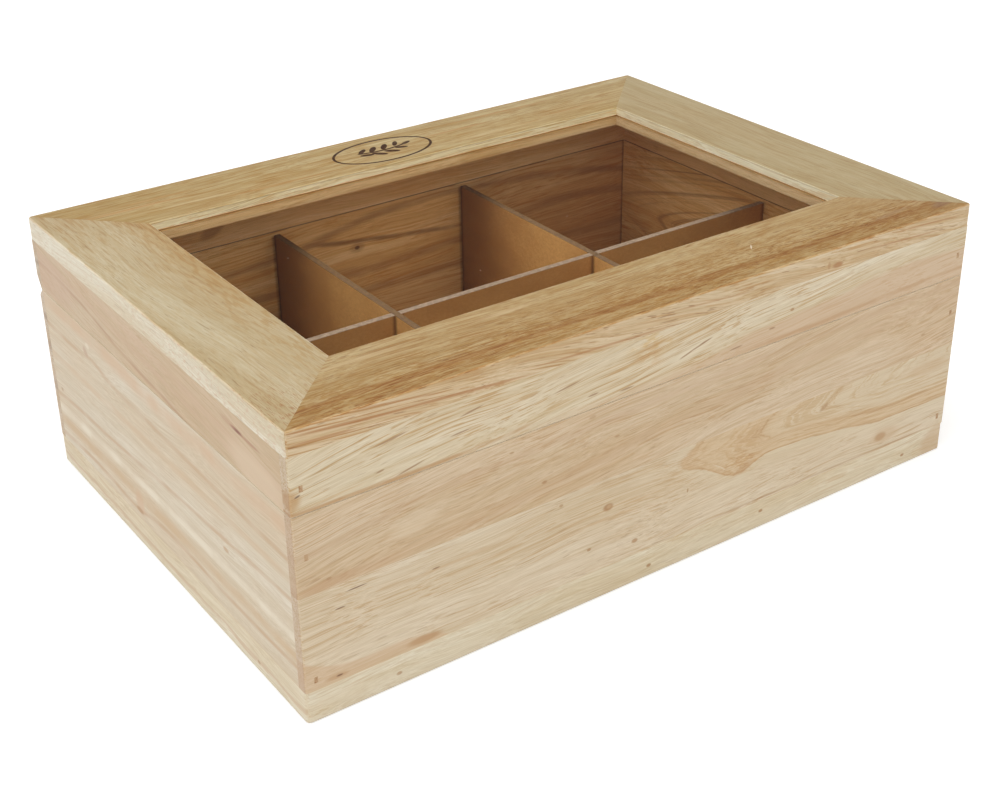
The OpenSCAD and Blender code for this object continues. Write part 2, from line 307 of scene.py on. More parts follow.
def wood_group():
    """Straight grain: x runs along it, in millimetres. Each board feeds it tones and amounts."""
    group = bpy.data.node_groups.new("rubberwood grain", "ShaderNodeTree")
    inputs = {"Vector": "NodeSocketVector"}
    inputs.update({name: "NodeSocketColor" for name in GRAIN_TONES})
    inputs.update({name: "NodeSocketFloat" for name in GRAIN_AMOUNTS})
    outputs = {"Colour": "NodeSocketColor", "Height": "NodeSocketFloat", "Roughness": "NodeSocketFloat"}
    for way, sockets in (("INPUT", inputs), ("OUTPUT", outputs)):
        for name, kind in sockets.items():
            group.interface.new_socket(name=name, in_out=way, socket_type=kind)
    r = Recipe(group)
    given = r.node("NodeGroupInput").outputs
    seed = r.join(given["Seed"], given["Seed"], given["Seed"])

    def field(vector, scale, shift, detail=2.0, rough=0.5):
        return r.noise(r.arrow("ADD", r.stretch(vector, scale, shift), seed), detail, rough)

    # the grain wanders a little along its length
    board = given["Vector"]
    for scale, shift, detail, far in (
            ((0.007, 0.02, 0.02), (0, 0, 0), 2.0, 20), ((0.03, 0.09, 0.09), (4, 4, 4), 1.0, 0.8)):
        wave = r.noise(r.arrow("ADD", r.stretch(given["Vector"], scale, shift), seed), detail, colour=True)
        drift = r.arrow("MULTIPLY", r.arrow("SUBTRACT", wave, (0.5, 0.5, 0.5)), (0, far, far))
        board = r.arrow("ADD", board, drift)

    # broad bands, narrower streaks in them, and large patches of blush
    wide = r.ratio(1.0, given["Wide"])
    spread = r.arrow("MULTIPLY", board, r.join(0.0042, wide, wide))
    band = r.ease(r.noise(r.arrow("ADD", spread, seed), 2.0, 0.5), 0.36, 0.64)
    streak = r.ease(field(board, (0.009, 0.36, 0.36), (3, 1, 7), 2.5, 0.55), 0.4, 0.68)
    cloud = r.ease(field(board, (0.009, 0.035, 0.035), (5, 2, 8), 3.0, 0.55), 0.38, 0.64)
    shade = r.total(r.product(band, given["Bands"]), r.product(streak, given["Streaks"]), clamp=True)
    colour = r.blend(shade, given["Pale"], given["Tan"])
    colour = r.blend(r.product(cloud, given["Blush"], clamp=True), colour, given["Rose"])

    # hair-thin darker and paler lines, then the finest fibres
    hair = field(board, (0.013, 1.45, 1.45), (2, 7, 3), 2.0, 0.6)
    fade = r.ease(field(board, (0.014, 0.08, 0.08), (8, 8, 1), 1.0), 0.32, 0.62, 0.35, 1.0)
    dark = r.product(r.ease(hair, 0.535, 0.6), r.product(given["Lines"], fade), clamp=True)
    colour = r.blend(dark, colour, given["Line"])
    light = r.product(r.ease(hair, 0.38, 0.46, 1.0, 0.0), r.product(given["Lines"], 0.35), clamp=True)
    colour = r.blend(light, colour, r.blend(1.0, given["Pale"], (1.1, 1.09, 1.07), "MULTIPLY"))
    fibre = field(board, (0.05, 2.2, 2.2), (0, 5, 0), 3.0, 0.75)
    fibres = r.blend(r.ease(fibre, 0.28, 0.72), (0.89, 0.86, 0.79), (1.08, 1.1, 1.15))
    colour = r.blend(1.0, colour, fibres, "MULTIPLY")

    # pores that show as short dark dashes, crowded in places
    fleck = field(board, (0.1, 2.0, 2.0), (6, 0, 6), 1.0, 0.5)
    fewest = r.ease(field(board, (0.013, 0.1, 0.1), (9, 4, 1)), 0.34, 0.68, 0.7, 0.61)
    pore = r.product(r.ease(r.less(fleck, fewest), 0.0, 0.07), given["Pores"], clamp=True)
    colour = r.blend(pore, colour, given["Pore"])

    height = r.less(r.product(fibre, 0.35), r.total(pore, r.product(dark, 0.4)))
    rough = r.total(r.ease(fibre, 0.2, 0.8, 0.42, 0.54), r.product(pore, 0.2))
    out = r.node("NodeGroupOutput").inputs
    r.feed(out["Colour"], colour)
    r.feed(out["Height"], height)
    r.feed(out["Roughness"], rough)
    return group


GRAIN = wood_group()


def tinted(colour, factors):
    return tuple(min(1.0, c * f) for c, f in zip(colour, factors))


def rubberwood(name, grain, body, seed, finish, wide=12.0, bands=0.6, streaks=0.35, lines=0.5, pores=0.4,
               blush=0.4, tilt=(0.0, 0.0), turned_sides=False, gloss=0.5):
    """grain is the way of the board's length, x or y, and body its middle tone.

    tilt turns the grain in the upright face and in the flat one. finish draws the board's own figure, and on
    some boards painted shade and a painted sheen."""
    material, r, surface = new_material(name)
    place = millimetres(r)
    board = r.place(place, turn=(0, 0, 0.0 if grain == "x" else 90.0))
    if turned_sides:
        side = r.ease(r.absolute(r.parts(place)[0]), HALF_WIDTH - 0.8, HALF_WIDTH - 0.4)
        across = r.place(place, turn=(0, 0, 90))
        board = r.node("ShaderNodeMix", {0: side, 4: board, 5: across}, data_type="VECTOR").outputs[1]
    board = r.place(board, turn=(0, *tilt))
    wood = r.node("ShaderNodeGroup", node_tree=GRAIN)
    for key, factors in GRAIN_TONES.items():
        r.feed(wood.inputs[key], tinted(body, factors))
    for key, value in zip(GRAIN_AMOUNTS, (wide, bands, streaks, lines, pores, blush, seed)):
        r.feed(wood.inputs[key], value)
    r.feed(wood.inputs["Vector"], board)
    axis = 0 if grain == "x" else 1
    figure = Figure(material.node_tree, place, axis, wood.outputs["Colour"], wood.outputs["Height"])
    finish(figure)
    r.feed(surface.inputs["Base Color"], figure.colour)
    r.feed(surface.inputs["Roughness"], wood.outputs["Roughness"])
    surface.inputs["Specular IOR Level"].default_value = gloss
    bump = r.node("ShaderNodeBump", {"Height": figure.height, "Strength": 0.35, "Distance": 0.00006})
    r.feed(surface.inputs["Normal"], bump.outputs[0])
    return material


# ---- Figures, board by board ----

# the oval ring on the back rail: its half-widths and how far back its middle lies
RING_WIDE, RING_DEEP, RING_BACK = 25.3, 13.8, 93.9
# a half-width for marks that have no end in that direction
ENDLESS = 1e6
# the tone of painted shade in the back wall's gaps and corners
PAINTED_SHADE = (0.4, 0.34, 0.3)
KNOT = tone(168, 126, 80)
TAWNY = tone(196, 162, 122)


def base_figure(f):
    for x, z, half in ((-126.5, 5.3, 1.5), (-8, 5, 1.5), (53, 8, 1.4), (139.5, 5, 1.4)):
        f.spot((x, FRONT, z), (half, 3, half * 0.62), KNOT, 0.9)
    f.spot((164, FRONT, 4), (14, 6, 12), TAWNY, 0.55, core=0.7)
    f.spot((-145, FRONT, 6), (26, 6, 4), tone(226, 214, 190), 0.4, (0, 6, 0))
    side = f.ease(f.spots[0], LEFT + 0.4, LEFT + 0.8, 1.0, 0.0)
    off = f.absolute(f.total(f.less(f.up, 4.8), f.ragged(6.0, 6.0)))
    f.cover(f.product(f.ease(off, 0.2, 1.6, 0.7, 0.0), side), tone(200, 170, 134))
    f.spot((LEFT, -78, 4.5), (3, 1.4, 0.9), KNOT, 0.6)
    f.times(f.ease(f.up, BASE_TOP - 0.2, BASE_TOP - 0.05), (0.9, 0.76, 0.52))


def lower_plank_figure(f):
    """The swirl under the glue line with bands trailing off to the right, two patches and the knots."""
    floor = f.course(((-165, 62), (4, 46.5), (12, 42.8), (20, 40), (26, 36.5), (31, 33), (36, 31), (41, 31),
                      (47, 33.5), (53, 35.6), (62, 36.2), (80, 34.6), (95, 32.6), (110, 30), (122, 28.3),
                      (165, 27.8)), True)
    rise = f.total(f.less(f.up, floor), f.ragged(4.0, 2.6))
    wedge = f.less(f.less(f.along, 5.0), f.product(1.6, f.absolute(f.less(f.up, 46.5))))
    depth = f.maths("SMOOTH_MIN", rise, f.total(f.product(wedge, 0.15), f.ragged(7.0, 2.4)), 0.8)
    inside_swirl = f.ease(depth, -0.15, 0.3)
    below = f.product(f.ease(rise, -9.0, 0.0), f.ease(f.along, -10.0, 30.0, 0.0, 0.5))
    f.cover(below, tone(216, 200, 170))
    rings = f.noise(f.join(depth, f.product(f.along, 0.02), 0.0), 3.0, 0.75)
    f.times(f.product(inside_swirl, f.ease(depth, 5.5, 10.5, 1.0, 0.2)), (0.95, 0.86, 0.76))
    f.times(f.product(inside_swirl, f.ease(rings, 0.5, 0.6, 0.0, 0.8)), (0.88, 0.78, 0.64))
    f.times(f.product(inside_swirl, f.ease(rings, 0.36, 0.46, 0.5, 0.0)), (1.07, 1.12, 1.18))
    tail = f.product(f.ease(f.along, 60, 130), f.ease(rise, 5.0, 12.0, 1.0, 0.0))
    f.dashes(f.product(inside_swirl, tail, 0.8), (0.86, 0.76, 0.62), seed=4.0, length=40.0, width=1.1,
             low=0.46, high=0.6)
    for level, half, share in ((0.35, 0.5, 0.85), (6.2, 0.5, 0.5), (12.2, 0.4, 0.5)):
        ring = f.ease(f.absolute(f.less(depth, level)), 0.3 * half, 1.5 * half, share, 0.0)
        f.times(f.product(ring, f.ease(rings, 0.4, 0.6, 0.4, 1.0)), (0.8, 0.64, 0.46))
    vein = f.product(f.ease(f.absolute(f.less(rise, 3.4)), 0.15, 0.55, 1.0, 0.0), f.only(0, 25, 32, 1.5))
    f.cover(f.product(vein, f.ease(rings, 0.35, 0.6, 0.1, 0.5)), tone(228, 216, 192))
    f.dashes(f.product(f.near((40, FRONT, 36), (16, 6, 7)), 0.9), (0.86, 0.72, 0.54), seed=9.0, length=5.0,
             width=0.9, low=0.48, high=0.56)
    f.spot((42, FRONT, 33.5), (6, 5, 2.2), tone(180, 140, 98), 0.35, (0, -14, 0))
    f.spot((86, FRONT, 47), (3.2, 3, 1.3), KNOT, 0.5, (0, -30, 0))
    f.spot((150, FRONT, 46), (16, 5, 4), TAWNY, 0.35)
    # the reddish foot at the left
    top = f.course(((-165, 27), (-158, 23.4), (-150, 20.8), (-140, 19.8), (-122, 19.2), (-109, 16.2),
                    (-100, 12), (165, 0)))
    foot = f.ease(f.total(f.less(top, f.up), f.ragged(9.0, 1.2)), -0.3, 1.2, 0.0, 0.55)
    f.cover(foot, tone(202, 168, 130))
    f.spot((-115, FRONT, 16), (9, 5, 2), tone(180, 138, 92), 0.7)
    f.spot((-152, FRONT, 15.8), (6, 5, 1.2), tone(186, 146, 104), 0.6)
    for x, z, wide, tall, strength in (
            (-29.7, 40.8, 2.9, 2.0, 0.85), (-38.8, 24.7, 1.2, 0.8, 0.8), (-15.8, 20, 1.9, 1.2, 0.75),
            (-52.5, 50, 1.2, 0.8, 0.6), (11.2, 33.4, 0.5, 1.2, 0.7), (123.5, 20, 4.2, 2.4, 0.8)):
        f.spot((x, FRONT, z), (wide, 3, tall), KNOT, strength)
    f.spot((-29.2, FRONT, 41), (1.5, 3, 1.0), tone(196, 164, 124), 0.6)
    f.spot((126, FRONT, 20), (11, 5, 4.5), TAWNY, 0.45)
    for x, z, wide, tall, turn in (
            (-142, 50, 5, 0.35, -1), (-149, 44.2, 2.6, 0.35, 0), (-109, 44.7, 2, 0.4, 0),
            (-151, 15.8, 1.6, 0.5, 0)):
        f.spot((x, FRONT, z), (wide, 3, tall), tone(120, 84, 54), 0.85, (0, turn, 0))
    f.line(((-165, 44.5), (-100, 44.2), (-60, 46), (165, 47)), 0.7, TAWNY, strength=0.6, seed=8.0, rag=1.6,
           where=f.only(0, -125, -84, 6))
    f.line(((-165, 14.4), (0, 14.3), (40, 14.6), (90, 14.5), (150, 14.0), (165, 14)), 0.5, KNOT,
           strength=0.7, seed=5.0, rag=0.5, where=f.only(0, 30, 152, 8))
    ends(f)
    inside(f, 1)


def upper_plank_figure(f):
    for x, z, wide, tall, strength in (
            (-60.3, 63.3, 1.5, 0.8, 0.8), (-152.5, 58, 1.3, 0.7, 0.6), (-75, 81, 1.3, 0.5, 0.6),
            (-26, 71.3, 1.6, 0.5, 0.6), (144, 64, 1.6, 0.5, 0.6), (-38, 83.5, 2, 1, 0.35)):
        f.spot((x, FRONT, z), (wide, 3, tall), KNOT, strength)
    f.spot((-118, FRONT, 66), (14, 5, 4), tone(222, 202, 172), 0.4, (0, -8, 0))
    f.spot((-150, FRONT, 56.5), (15, 5, 2), tone(190, 152, 112), 0.5, (0, -4, 0))
    f.line(((-165, 70), (-150, 71.5), (-110, 77), (-60, 79), (165, 84)), 1.6, tone(190, 156, 120),
           strength=0.4, seed=2.0, rag=3.0)
    f.line(((-165, 55), (-60, 61), (0, 68), (165, 78)), 2.5, tone(192, 158, 122), strength=0.35, seed=4.0,
           rag=4.0)
    ends(f)
    inside(f, 1)
    rim(f)


def front_apron_figure(f):
    edge = f.course(((-165, 88), (-60, 90), (25, 93), (40, 96), (60, 97), (90, 99.2), (110, 101.5),
                     (140, 102), (165, 101)))
    low = f.ease(f.total(f.less(edge, f.up), f.ragged(6.0, 4.0)), -0.5, 2.0)
    f.cover(f.product(low, f.ease(f.along, -80, 60, 0.15, 0.7)), tone(202, 170, 136))
    f.dashes(f.product(f.near((-9, FRONT, 106), (16, 6, 7)), 0.9), (0.93, 0.82, 0.62), seed=3.0, length=5.0,
             width=1.6, low=0.42, high=0.56)
    f.dashes(f.product(f.near((-11, FRONT, 100), (9, 6, 7), (0, 50, 0)), 0.8), (0.93, 0.83, 0.72), seed=5.0,
             length=5.0, width=1.4, low=0.44, high=0.56)
    f.spot((12, FRONT, 97), (14, 5, 2.4), tone(226, 212, 184), 0.5, (0, -14, 0))
    for x, z, wide, turn in (
            (13, 97.6, 6, -14), (17, 98.8, 4, -12), (7, 95.8, 4, -16), (33, 91, 4, -4), (-38, 93, 3, -3),
            (-22, 90.5, 4, -2), (-118, 90, 7, -12), (-130, 93, 2, -8), (-92, 104, 6, -10),
            (-125, 104, 8, -8), (-97, 97, 5, -4), (-50, 100, 7, -8), (52, 94, 2, 0)):
        f.spot((x, FRONT, z), (wide, 3, 0.45), tone(150, 108, 68), 0.7, (0, turn, 0))
    f.spot((62.5, FRONT, 99.3), (1.3, 3, 0.8), KNOT, 0.8)
    f.spot((-166, FRONT, 93), (6, 8, 5), tone(186, 144, 92), 0.75)
    f.spot((-162, FRONT, 94.6), (1.4, 3, 0.4), tone(96, 74, 56), 0.8, (0, -16, 0))
    f.line(((-165, 87.9), (-100, 88.2), (-78, 89.2), (-60, 90.6), (0, 91), (165, 91)), 0.8,
           tone(178, 132, 80), strength=0.7, seed=7.0, rag=1.0, where=f.only(0, -175, -66, 6))
    f.line(((-165, 88.3), (30, 88.4), (90, 89), (120, 90.2), (165, 91)), 0.9, tone(184, 142, 98),
           strength=0.6, seed=3.0, rag=1.0, where=f.only(0, 30, 175, 10))
    ends(f)
    inside(f, 1)
    rim(f)


def left_board_figure(f):
    """Growth lines along the left wall, given from -110 at the front to 110 at the back."""
    soft = tone(190, 154, 114)
    f.line(((-110, 68), (0, 69.5), (40, 70.5), (62, 73.6), (70, 72.4), (110, 72)), 1.3, soft, strength=0.65,
           seed=1.0, rag=1.0)
    f.line(((-110, 51.4), (-60, 48.6), (-40, 47.5), (0, 44.8), (40, 41.6), (80, 39.6), (110, 37)), 1.2,
           soft, strength=0.65, seed=2.0, rag=1.0)
    f.line(((-110, 22.4), (-60, 21.2), (10, 20.8), (24, 18), (34, 17.4), (60, 18.6), (110, 16.6)), 1.2,
           soft, strength=0.7, seed=3.0, rag=1.0)
    f.line(((-110, 81), (0, 81.5), (60, 84), (110, 83)), 3.8, tone(206, 172, 136), strength=0.75, seed=5.0,
           rag=2.5)
    f.line(((-110, 27), (-40, 27), (40, 25), (110, 24)), 2.6, tone(198, 166, 124), strength=0.75, seed=6.0,
           rag=2.5)
    f.line(((-110, 60), (0, 59), (110, 57)), 2.0, tone(202, 172, 134), strength=0.6, seed=7.0, rag=3.0)
    f.line(((-110, 35), (0, 34), (110, 30)), 2.2, tone(232, 222, 202), strength=0.7, seed=8.0, rag=3.0)
    f.spot((LEFT, 66, 75), (3, 3.4, 2.2), tone(190, 158, 130), 0.8, (30, 0, 0))
    f.spot((LEFT, 63, 79), (3, 2.6, 1.6), tone(226, 212, 190), 0.6)
    f.spot((LEFT, -58.5, 44), (3, 2.8, 1.2), tone(190, 156, 118), 0.8)
    f.spot((LEFT, 25, 22), (3, 5, 7), tone(204, 168, 132), 0.6)
    f.spot((LEFT, 26, 17.6), (3, 4, 1.6), tone(176, 136, 96), 0.7)
    f.spot((LEFT, 104, 41), (3, 1.6, 1), KNOT, 0.6)
    inside(f, 0)
    rim(f)


def left_apron_figure(f):
    soft = tone(176, 136, 102)
    f.line(((-110, 78), (-20, 88.6), (20, 92), (60, 98.2), (80, 100), (110, 101)), 0.8, soft, strength=0.75,
           seed=1.0, rag=1.0)
    f.line(((-110, 90), (-60, 94), (0, 98), (110, 106)), 1.8, tone(198, 164, 134), strength=0.45, seed=2.0,
           rag=2.5)
    f.line(((-110, 96), (-40, 101), (110, 112)), 2.5, tone(206, 174, 146), strength=0.4, seed=4.0, rag=3.0)
    f.spot((LEFT, 100, 97), (3, 34, 11), tone(196, 158, 132), 0.4)
    f.spot((LEFT, -92, 92), (3, 26, 9), tone(216, 192, 162), 0.6, (8, 0, 0))
    f.spot((LEFT, -78.5, 104), (3, 5.5, 0.9), tone(128, 66, 38), 0.95, (3, 0, 0))
    f.spot((LEFT, -88, 103.4), (3, 9, 0.8), tone(172, 122, 92), 0.7, (2, 0, 0))
    f.spot((LEFT, -72, 104.6), (3, 7, 1.6), tone(184, 142, 112), 0.5, (3, 0, 0))
    inside(f, 0)
    rim(f)


def painted_floor_shade(f, axis):
    """Painted shade: a wall's inner face darkens towards the floor of the box."""
    f.times(f.product(f.inner_face(axis), f.ease(f.up, 22, 86, 1.0, 0.0)), (0.64, 0.57, 0.56))


def outside(f, axis, factors=(0.73, 0.95, 1.55)):
    """The outer side of a board whose inner face is warmer and gets painted shade towards the floor. Outside
    it is paler and bluer, partly the wood's tone and partly a painted sheen.
    """
    painted_floor_shade(f, axis)
    # paler and bluer outer faces, partly a painted sheen
    f.times(f.less(1.0, f.inner_face(axis)), factors)


def inside(f, axis, factors=(1.06, 0.9, 0.62)):
    """The warmer inner face of a board that is pale outside, with painted shade towards the floor of the
    box.
    """
    painted_floor_shade(f, axis)
    f.times(f.inner_face(axis), factors)


def ends(f, factors=(0.85, 0.8, 0.8)):
    """End grain of a long board where it shows at the sides."""
    f.times(f.ease(f.reach(0), HALF_WIDTH - 0.3, HALF_WIDTH - 0.05), factors)


def rim(f):
    """Where lid and box meet: pale planed wood that also gives a painted highlight along the seam, and a
    painted shadow as a dark line inside.
    """
    wall = f.most(f.less(f.reach(0), INNER[0]), f.less(f.reach(1), INNER[1]))
    # painted shadow: a dark line in the seam on the inside
    dark = f.product(f.only(2, RIM - 0.1, LID_RIM + 0.1, 0.05), f.ease(wall, 0.8, 1.2, 1.0, 0.0))
    f.times(dark, (0.5, 0.42, 0.36))
    # pale planed rim, also a painted highlight under the seam
    planed = f.product(f.only(2, RIM - 0.05, LID_RIM + 0.05, 0.05), f.ease(wall, 0.8, 1.2, 0.0, 0.8))
    f.cover(planed, tone(238, 222, 194))


def lip(f):
    """The planed wood round the opening: pale above the window and warmer below it, with painted light in
    the groove that holds the window.
    """
    over = f.most(f.less(f.reach(0), OPENING[0]), f.less(f.reach(1), OPENING[1]))
    near = f.ease(over, 0.1, 0.4, 1.0, 0.0)
    near_top = f.product(near, f.ease(f.up, TOP - 1.2, TOP - 0.3, 1.0, 0.5))
    f.times(f.product(near_top, f.ease(f.up, WINDOW_TOP - 0.6, WINDOW_TOP)), (2.2, 2.62, 3.5))
    # painted light in the window's groove, as if it came in through the acrylic's edge
    groove = f.product(f.ease(f.up, WINDOW_LOW - 0.2, WINDOW_LOW),
                       f.ease(f.up, WINDOW_TOP, WINDOW_TOP + 0.2, 1.0, 0.0))
    f.times(f.product(groove, f.ease(over, 8.0, 9.0, 1.0, 0.0)), (1.6, 1.2, 0.85))
    f.times(f.product(near, f.ease(f.up, WINDOW_LOW - 0.6, WINDOW_LOW, 1.0, 0.0)), (1.64, 1.44, 1.4))


def front_rail_figure(f):
    # the front face is paler and bluer than the top: a painted sheen
    edge = f.ease(f.spots[1], FRONT + 0.25, FRONT + 0.75, 1.0, 0.0)
    f.times(edge, (1.39, 1.49, 1.9))
    for x, z, wide, tall, turn, strength in (
            (-140, 115.6, 26, 0.7, 5, 0.75), (-150, 113.4, 16, 0.6, 4, 0.6), (-95, 112.4, 34, 0.7, 4, 0.7),
            (-120, 117.4, 22, 0.5, 7, 0.5), (-30, 111.6, 40, 0.6, 2, 0.6), (20, 115, 26, 0.5, 4, 0.4),
            (125, 113.6, 26, 0.5, 3, 0.6), (140, 117.2, 26, 0.45, 3, 0.6), (-158, 118.4, 8, 0.5, 5, 0.6)):
        f.spot((x, FRONT, z), (wide, 1.5, tall), tone(172, 120, 68), strength, (0, turn, 0))
    fan = f.product(edge, f.ease(f.along, -165, 0, 0.55, 0.2))
    slant = f.place(f.point, turn=(0, 4.5, 0))
    streak = f.noise(f.stretch(slant, (0.012, 1.3, 1.3), (3, 0, 0)), 2.0, 0.6)
    f.times(f.product(f.ease(streak, 0.5, 0.57), fan), (0.84, 0.7, 0.52))
    f.spot((86.5, FRONT, 112.4), (3.4, 1.5, 1.5), tone(170, 122, 74), 0.85)
    f.spot((81.5, FRONT, 113.2), (1.0, 1.5, 1.9), tone(176, 132, 86), 0.6)
    # darker outer half on top, a pale streak near the opening and a small scratch
    top = f.on_top()
    outer = f.product(f.ease(f.total(f.spots[1], f.ragged(3.0, 5.0)), -109.0, -96.0, 0.6, 0.0), top)
    f.times(outer, (0.84, 0.72, 0.52))
    f.times(f.product(f.ease(f.spots[1], -88.0, -80.0, 0.0, 0.6), top), (1.08, 1.14, 1.24))
    dense = f.product(f.ease(f.spots[1], -108.0, -82.0, 0.95, 0.3), top)
    f.dashes(dense, (0.86, 0.73, 0.5), seed=2.0, length=4.5, width=0.9, low=0.48, high=0.56)
    f.dashes(f.product(dense, 0.7), (0.8, 0.64, 0.42), seed=7.0, length=9.0, width=0.6, low=0.54, high=0.6)
    off = f.absolute(f.total(f.spots[1], 105.5, f.ragged(5.0, 5.0)))
    dark_band = f.product(f.ease(off, 0.8, 2.6, 0.75, 0.0), top)
    f.times(f.product(dark_band, f.ease(f.along, 110, 165, 1.0, 0.3)), (0.8, 0.62, 0.42))
    far = f.product(f.ease(f.along, 90, 160, 0.0, 0.55), top)
    f.times(far, (0.92, 0.86, 0.86))
    f.spot((-55, -84, TOP), (16, 1.6, 2), tone(204, 180, 140), 0.45)
    f.spot((-118, -84.5, TOP), (20, 1.6, 2), tone(204, 180, 140), 0.4)
    f.spot((157, -107, TOP), (10, 3.2, 2), tone(140, 108, 82), 0.6, (0, 0, 12))
    f.spot((128, -103, TOP), (14, 1.6, 2), tone(150, 116, 84), 0.45, (0, 0, 6))
    f.spot((58.6, -93.6, TOP), (0.3, 2.6, 1), tone(226, 214, 194), 0.8, (0, 0, -40))
    lip(f)


def left_rail_figure(f):
    # the left face is paler and bluer than the top: a painted sheen
    side = f.ease(f.spots[0], LEFT + 0.25, LEFT + 0.75, 1.0, 0.0)
    f.times(side, (1.38, 1.5, 1.83))
    wavy = f.noise(f.stretch(f.point, (0.2, 0.32, 0.7)), 2.0, 0.6)
    wavy = f.product(f.ease(wavy, 0.52, 0.66), side, f.ease(f.along, -60, 40, 0.6, 0.25))
    f.cover(wavy, tone(206, 172, 138))
    top = f.on_top()
    inner = f.total(f.spots[0], f.ragged(2.0, 14.0))
    band = f.product(f.ease(inner, -143, -128, 0.0, 0.95), top, f.ease(f.along, -60, 10))
    f.times(band, (0.93, 0.82, 0.66))
    f.times(f.product(f.ease(f.along, 60, 105, 0.0, 0.4), top), (0.88, 0.8, 0.7))
    dash = f.noise(f.stretch(f.point, (2.9, 0.26, 2.9), (3, 1, 4)), 1.0)
    crowd = f.product(f.ease(f.total(f.along, f.product(f.spots[0], 0.4)), -165, -128, 0.7, 0.0), top)
    f.cover(f.product(f.ease(dash, 0.58, 0.64), crowd), tone(158, 108, 62))
    f.dashes(f.product(f.ease(inner, -146, -128, 0.3, 0.9), top), (0.9, 0.78, 0.6), seed=6.0, length=9.0,
             width=1.3, low=0.48, high=0.58)
    f.dashes(f.product(f.ease(f.along, 20, 100, 0.2, 0.9), top), (0.86, 0.74, 0.58), seed=8.0, length=14.0,
             width=0.9, low=0.52, high=0.59)
    lip(f)


def right_rail_figure(f):
    # the right face is paler and bluer than the top: a painted sheen
    f.times(f.ease(f.spots[0], HALF_WIDTH - 0.75, HALF_WIDTH - 0.25), (1.2, 1.28, 1.45))
    top = f.on_top()
    f.dashes(f.product(top, 0.5), (0.9, 0.82, 0.7), seed=3.0, length=16.0, width=1.2, low=0.5, high=0.6)
    lip(f)


def back_rail_figure(f):
    """An oval ring burned into the middle of the back rail round a small leaf sprig."""
    for x, y, wide, deep, share in (
            (-125, 96, 30, 1.2, 0.55), (-112, 101, 22, 0.9, 0.4), (42, 97, 24, 1.1, 0.5),
            (75, 106, 40, 1.0, 0.5), (-60, 84, 34, 1.2, 0.4), (110, 88, 26, 1.0, 0.4)):
        f.spot((x, y, TOP), (wide, deep, 3), tone(176, 128, 74), share)
    for x, y, wide, deep, share in (
            (-95, 88, 26, 1.3, 0.4), (60, 84, 40, 1.4, 0.4), (5, 110, 30, 1.0, 0.3)):
        f.spot((x, y, TOP), (wide, deep, 3), tone(206, 188, 150), share)
    top = f.on_top()
    f.dashes(f.product(top, 0.75), (0.86, 0.72, 0.52), seed=5.0, length=14.0, width=1.0, low=0.51, high=0.6)
    f.dashes(f.product(top, 0.5), (1.08, 1.12, 1.2), seed=9.0, length=24.0, width=1.4, low=0.54, high=0.64)
    lip(f)
    middle = f.place(f.point, (0, RING_BACK, 0), size=(RING_WIDE, RING_DEEP, ENDLESS))
    length = f.arrow("LENGTH", middle)
    steep = f.arrow("LENGTH", f.arrow("MULTIPLY", middle, (1 / RING_WIDE, 1 / RING_DEEP, 0)))
    off = f.absolute(f.ratio(f.product(f.less(length, 1.0), length), steep))
    ring = f.ease(off, 0.52, 0.82, 1.0, 0.0)
    stem = f.less(f.spots[1], f.total(93.6, f.product(f.along, f.along, 0.012)))
    stem = f.product(f.ease(f.absolute(stem), 0.5, 0.8, 1.0, 0.0), f.ease(f.reach(0), 12.0, 13.0, 1.0, 0.0))
    mark = f.most(ring, stem)
    for x, y, turn, half in (
            (-9, 97.6, 40, 3.3), (-9.5, 92.0, -15, 3.3), (-3.5, 97.2, 48, 3.7), (-3.5, 90.4, -40, 3.7),
            (2.8, 97.4, 52, 3.7), (3.2, 90.4, -30, 3.7), (9.3, 98.2, 56, 3.1), (9.4, 92.2, -18, 3.1),
            (14.2, 96.2, 22, 2.9)):
        leaf = f.place(f.point, (x, y, 0), (0, 0, turn), (half, half * 0.38, ENDLESS))
        mark = f.most(mark, f.ease(f.arrow("LENGTH", leaf), 0.95, 1.12, 1.0, 0.0))
    mark = f.product(mark, top)
    char = f.noise(f.stretch(f.point, (0.5, 0.5, 0.5)), 2.0)
    f.cover(f.product(mark, f.ease(char, 0.3, 0.65, 1.0, 0.9)), tone(54, 20, 3))
    f.height = f.less(f.height, f.product(mark, 2.5))


def back_board_figure(f):
    dark = tone(132, 84, 48)
    f.line(((-165, 80), (-60, 78), (-30, 74), (0, 70), (30, 66.5), (50, 64.5), (165, 70)), 1.2, dark,
           strength=0.75, seed=3.0, rag=2.0, where=f.only(0, -34, 60, 8))
    f.line(((-165, 74), (-60, 72), (0, 82), (40, 84), (165, 70)), 2.0, tone(150, 100, 60), strength=0.5,
           seed=5.0, rag=4.0)
    f.line(((-165, 60), (-20, 55), (60, 58), (110, 64), (165, 58)), 2.4, tone(156, 106, 66), strength=0.5,
           seed=8.0, rag=5.0)
    f.line(((-165, 40), (0, 44), (165, 42)), 2.4, tone(160, 112, 70), strength=0.45, seed=9.0, rag=5.0)
    f.spot((-9.8, INNER[1], 67.6), (1.7, 4, 1.2), tone(70, 38, 20), 0.9)
    f.spot((-9.8, INNER[1], 67.6), (5, 5, 3), tone(150, 102, 62), 0.4)
    # painted shade in the gaps beside the dividers' ends, in the corners and across the right compartment
    inner = f.inner_face(1)
    for x in (-CROSSING, CROSSING):
        gap = f.ease(f.absolute(f.less(f.along, x)), 1.6, 3.4, 0.8, 0.0)
        f.times(f.product(gap, inner, f.ease(f.up, 84.0, 85.5, 1.0, 0.0)), PAINTED_SHADE)
    f.times(f.product(f.ease(f.reach(0), INNER[0] - 1.8, INNER[0], 0.0, 0.8), inner), PAINTED_SHADE)
    f.times(f.product(f.ease(f.along, 53, 60), inner), (0.84, 0.77, 0.77))
    ends(f)
    outside(f, 1)
    rim(f)


